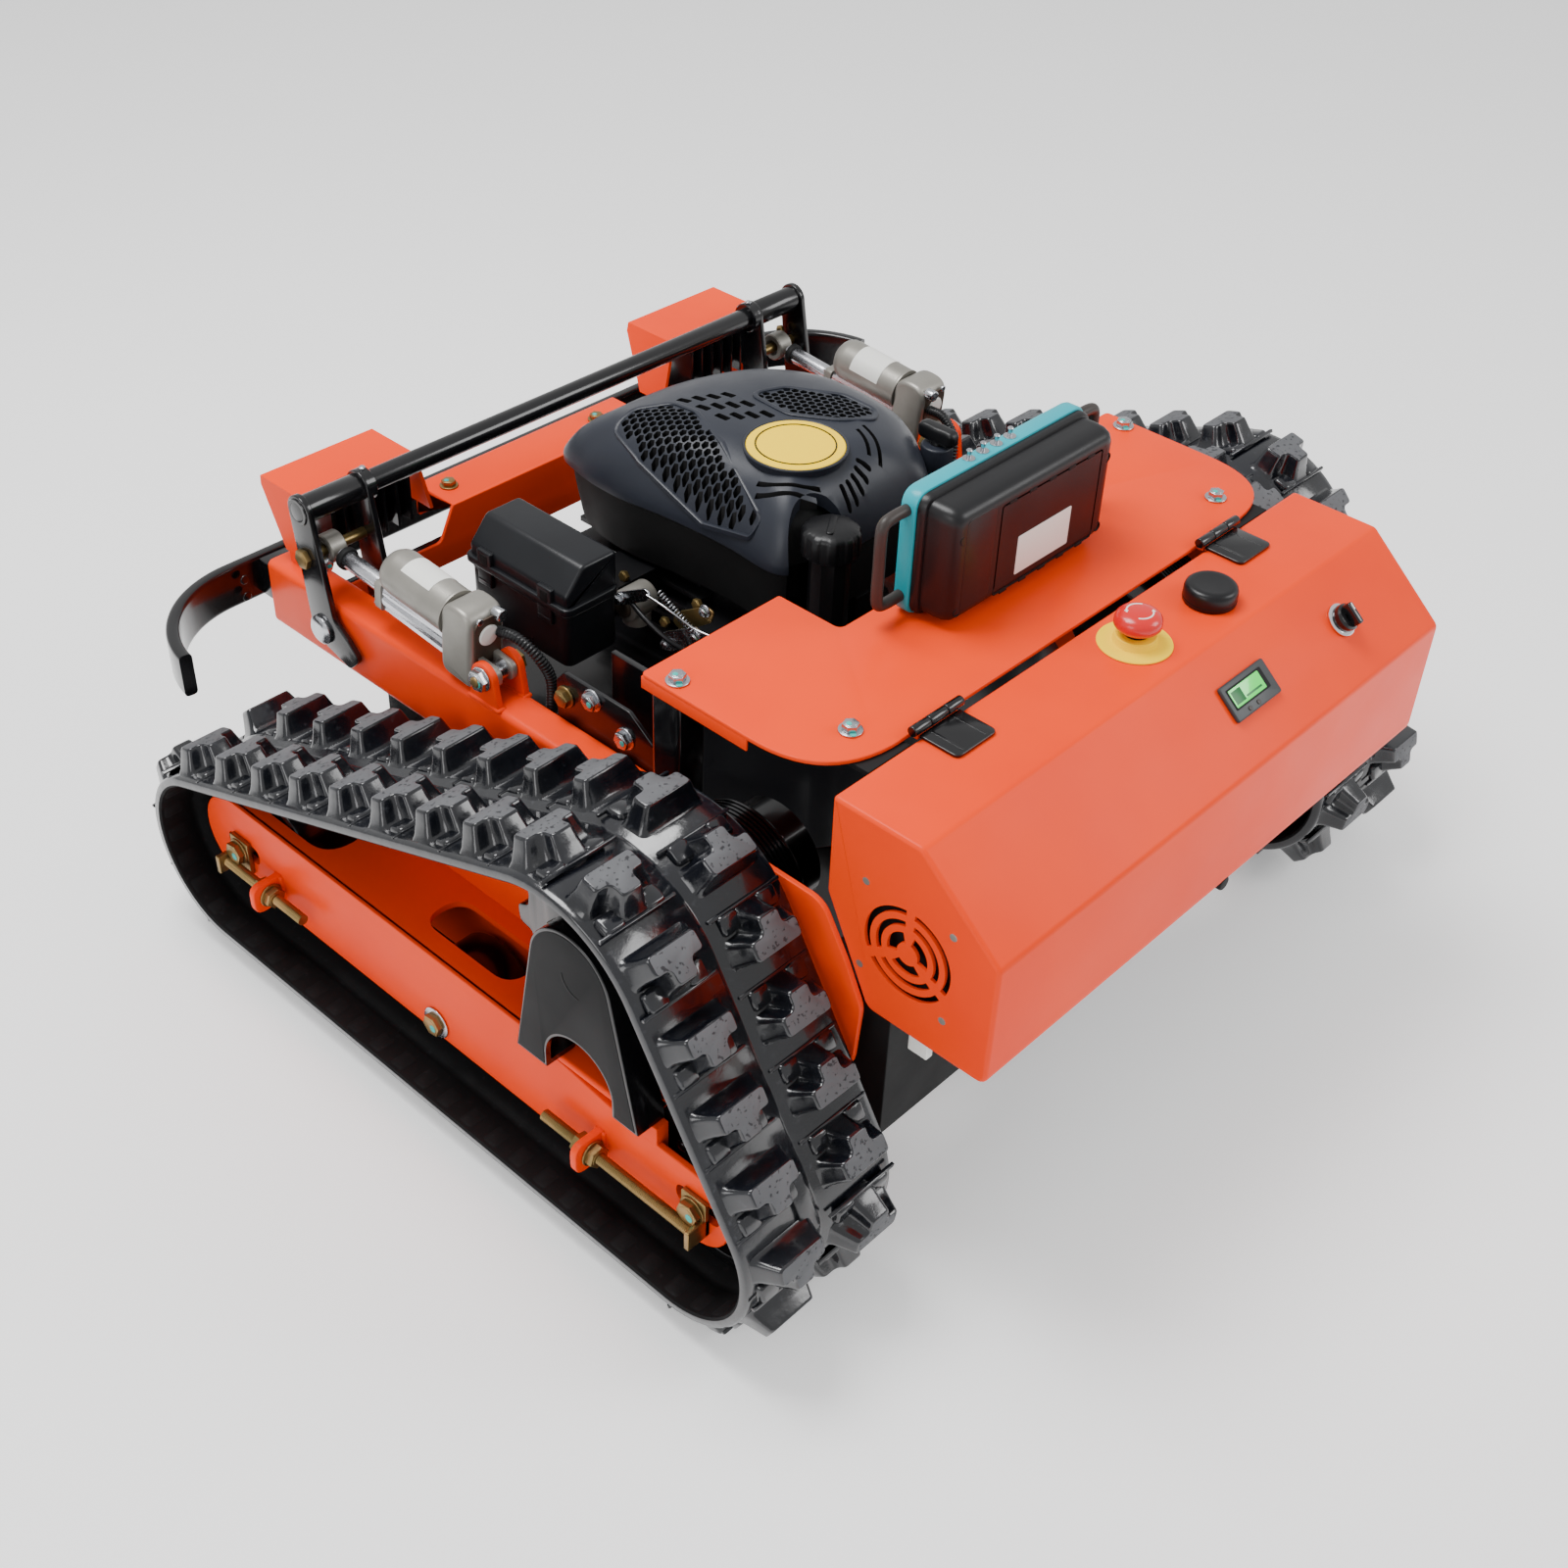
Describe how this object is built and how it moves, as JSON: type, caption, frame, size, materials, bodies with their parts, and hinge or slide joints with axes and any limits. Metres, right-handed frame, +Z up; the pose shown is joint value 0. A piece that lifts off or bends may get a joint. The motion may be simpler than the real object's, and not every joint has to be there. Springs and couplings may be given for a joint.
{
  "type": "remote control slope mower",
  "caption": "Tracked slope mower with rubber belts, a liftable deck under a petrol engine, a hinged electric box and a hand transmitter.",
  "frame": {"origin": "on the ground under the centre of the bounding box", "axes": "+Z up, the front with the lamps towards -Y, the machine's left track towards +X"},
  "size_m": [0.94, 0.8648, 0.5426],
  "materials": {
    "orange": "satin",
    "black": "gloss",
    "rubber": "matte",
    "plastic": "matte",
    "cowl": "satin",
    "silver": "satin",
    "zinc": "satin",
    "steel": "satin",
    "teal": "satin",
    "yellow": "gloss",
    "red": "gloss",
    "grey": "matte",
    "chrome": "polished",
    "cell": "matte"
  },
  "bodies": {
    "chassis": {"front_bumper": "black", "front_panel": "orange", "top_plate": "orange", "rear_tray": "black", "battery": "cell", "side_beam_left": "orange", "lamp_hood_left": "orange", "work_lamp_left": "black", "drive_motor_left": "black", "track_frame_left": "orange", "drive_guard_left": "black", "track_belt_left": "rubber", "front_tensioner_left": "zinc", "rear_tensioner_left": "zinc", "roller_bolt_left": "zinc", "actuator_body_left": "silver", "actuator_cable_left": "plastic", "side_beam_right": "orange", "lamp_hood_right": "orange", "work_lamp_right": "black", "drive_motor_right": "black", "track_frame_right": "orange", "drive_guard_right": "black", "track_belt_right": "rubber", "front_tensioner_right": "zinc", "rear_tensioner_right": "zinc", "roller_bolt_right": "zinc", "actuator_body_right": "silver", "actuator_cable_right": "plastic"},
    "deck": {"mower_deck": "black", "engine_block": "black", "engine_cowl": "cowl", "air_filter": "plastic"},
    "blade": {"mower_blade": "steel"},
    "oil_cap": {"oil_cap": "plastic"},
    "starter_handle": {"starter_handle": "plastic"},
    "lift_bar": {"lift_bar": "black"},
    "lid": {"rear_housing": "orange", "lid_hinge_left": "black", "lid_hinge_right": "black", "stop_base": "yellow", "aerial_cap": "plastic", "meter": "grey", "dial_ring": "chrome"},
    "stop_button": {"stop_button": "red"},
    "dial_knob": {"dial_knob": "black"},
    "transmitter": {"remote_back": "plastic", "remote_bezel": "teal"},
    "joystick_left": {"joystick_left": "plastic"},
    "joystick_right": {"joystick_right": "plastic"},
    "sprocket_left": {"drive_sprocket_left": "black"},
    "front_idler_left": {"front_idler_left": "black"},
    "rear_idler_left": {"rear_idler_left": "black"},
    "roller_left": {"track_roller_left": "black"},
    "actuator_rod_left": {"actuator_rod_left": "steel"},
    "sprocket_right": {"drive_sprocket_right": "black"},
    "front_idler_right": {"front_idler_right": "black"},
    "rear_idler_right": {"rear_idler_right": "black"},
    "roller_right": {"track_roller_right": "black"},
    "actuator_rod_right": {"actuator_rod_right": "steel"}
  },
  "joints": [
    {"name": "deck_slide", "type": "slide", "parent": "chassis", "child": "deck", "axis": [0, 0, 1], "range_m": [-0.0335, 0.0095]},
    {"name": "lift_turn", "type": "hinge", "parent": "chassis", "child": "lift_bar", "pos_m": [0, -0.3136, 0.28], "axis": [1, 0, 0], "range_deg": [-26, 7]},
    {"name": "blade_spin", "type": "hinge", "parent": "deck", "child": "blade", "pos_m": [0, -0.037, 0.1], "axis": [0, 0, 1], "continuous": true},
    {"name": "oil_cap_turn", "type": "hinge", "parent": "deck", "child": "oil_cap", "pos_m": [0.036, 0.035, 0.4], "axis": [0, 0, 1], "continuous": true},
    {"name": "starter_pull", "type": "slide", "parent": "deck", "child": "starter_handle", "axis": [0, 0, 1], "range_m": [0, 0.3], "stiffness_N_per_m": 8},
    {"name": "sprocket_spin_left", "type": "hinge", "parent": "chassis", "child": "sprocket_left", "pos_m": [0.3915, 0.158, 0.26], "axis": [1, 0, 0], "continuous": true},
    {"name": "front_idler_spin_left", "type": "hinge", "parent": "chassis", "child": "front_idler_left", "pos_m": [0.3915, -0.296, 0.109], "axis": [1, 0, 0], "continuous": true},
    {"name": "rear_idler_spin_left", "type": "hinge", "parent": "chassis", "child": "rear_idler_left", "pos_m": [0.3915, 0.28, 0.107], "axis": [1, 0, 0], "continuous": true},
    {"name": "roller_spin_left", "type": "hinge", "parent": "chassis", "child": "roller_left", "pos_m": [0.3915, -0.028, 0.0805], "axis": [1, 0, 0], "continuous": true},
    {"name": "actuator_slide_left", "type": "slide", "parent": "chassis", "child": "actuator_rod_left", "axis": [0, -0.9964, 0.0853], "range_m": [-0.032, 0.0095]},
    {"name": "joystick_tilt_left", "type": "hinge", "parent": "transmitter", "child": "joystick_left", "pos_m": [0.05, 0.1467, 0.4793], "axis": [1, 0, 0], "range_deg": [-12, 12], "stiffness_Nm_per_rad": 0.2},
    {"name": "sprocket_spin_right", "type": "hinge", "parent": "chassis", "child": "sprocket_right", "pos_m": [-0.3915, 0.158, 0.26], "axis": [1, 0, 0], "continuous": true},
    {"name": "front_idler_spin_right", "type": "hinge", "parent": "chassis", "child": "front_idler_right", "pos_m": [-0.3915, -0.296, 0.109], "axis": [1, 0, 0], "continuous": true},
    {"name": "rear_idler_spin_right", "type": "hinge", "parent": "chassis", "child": "rear_idler_right", "pos_m": [-0.3915, 0.28, 0.107], "axis": [1, 0, 0], "continuous": true},
    {"name": "roller_spin_right", "type": "hinge", "parent": "chassis", "child": "roller_right", "pos_m": [-0.3915, -0.028, 0.0805], "axis": [1, 0, 0], "continuous": true},
    {"name": "actuator_slide_right", "type": "slide", "parent": "chassis", "child": "actuator_rod_right", "axis": [0, -0.9964, 0.0853], "range_m": [-0.032, 0.0095]},
    {"name": "joystick_tilt_right", "type": "hinge", "parent": "transmitter", "child": "joystick_right", "pos_m": [-0.066, 0.1467, 0.4793], "axis": [1, 0, 0], "range_deg": [-12, 12], "stiffness_Nm_per_rad": 0.2},
    {"name": "lid_hinge", "type": "hinge", "parent": "chassis", "child": "lid", "pos_m": [0, 0.27, 0.4289], "axis": [1, 0, 0], "range_deg": [0, 95]},
    {"name": "stop_press", "type": "slide", "parent": "lid", "child": "stop_button", "axis": [0, 0, -1], "range_m": [0, 0.005], "stiffness_N_per_m": 400},
    {"name": "dial_turn", "type": "hinge", "parent": "lid", "child": "dial_knob", "pos_m": [-0.1938, 0.38943, 0.3931], "axis": [0, 0.6442, 0.7649], "range_deg": [-45, 45]},
    {"name": "transmitter_lift", "type": "slide", "parent": "chassis", "child": "transmitter", "axis": [0, 0, 1], "range_m": [0, 0.25]}
  ],
  "couplings": [
    {"joint": "deck_slide", "follows": "lift_turn", "m_per_rad": 0.072479},
    {"joint": "front_idler_spin_left", "follows": "sprocket_spin_left", "ratio": 1.2745},
    {"joint": "rear_idler_spin_left", "follows": "sprocket_spin_left", "ratio": 1.3087},
    {"joint": "roller_spin_left", "follows": "sprocket_spin_left", "ratio": 2.0312},
    {"joint": "actuator_slide_left", "follows": "lift_turn", "m_per_rad": 0.067895},
    {"joint": "front_idler_spin_right", "follows": "sprocket_spin_right", "ratio": 1.2745},
    {"joint": "rear_idler_spin_right", "follows": "sprocket_spin_right", "ratio": 1.3087},
    {"joint": "roller_spin_right", "follows": "sprocket_spin_right", "ratio": 2.0312},
    {"joint": "actuator_slide_right", "follows": "lift_turn", "m_per_rad": 0.067895}
  ]
}
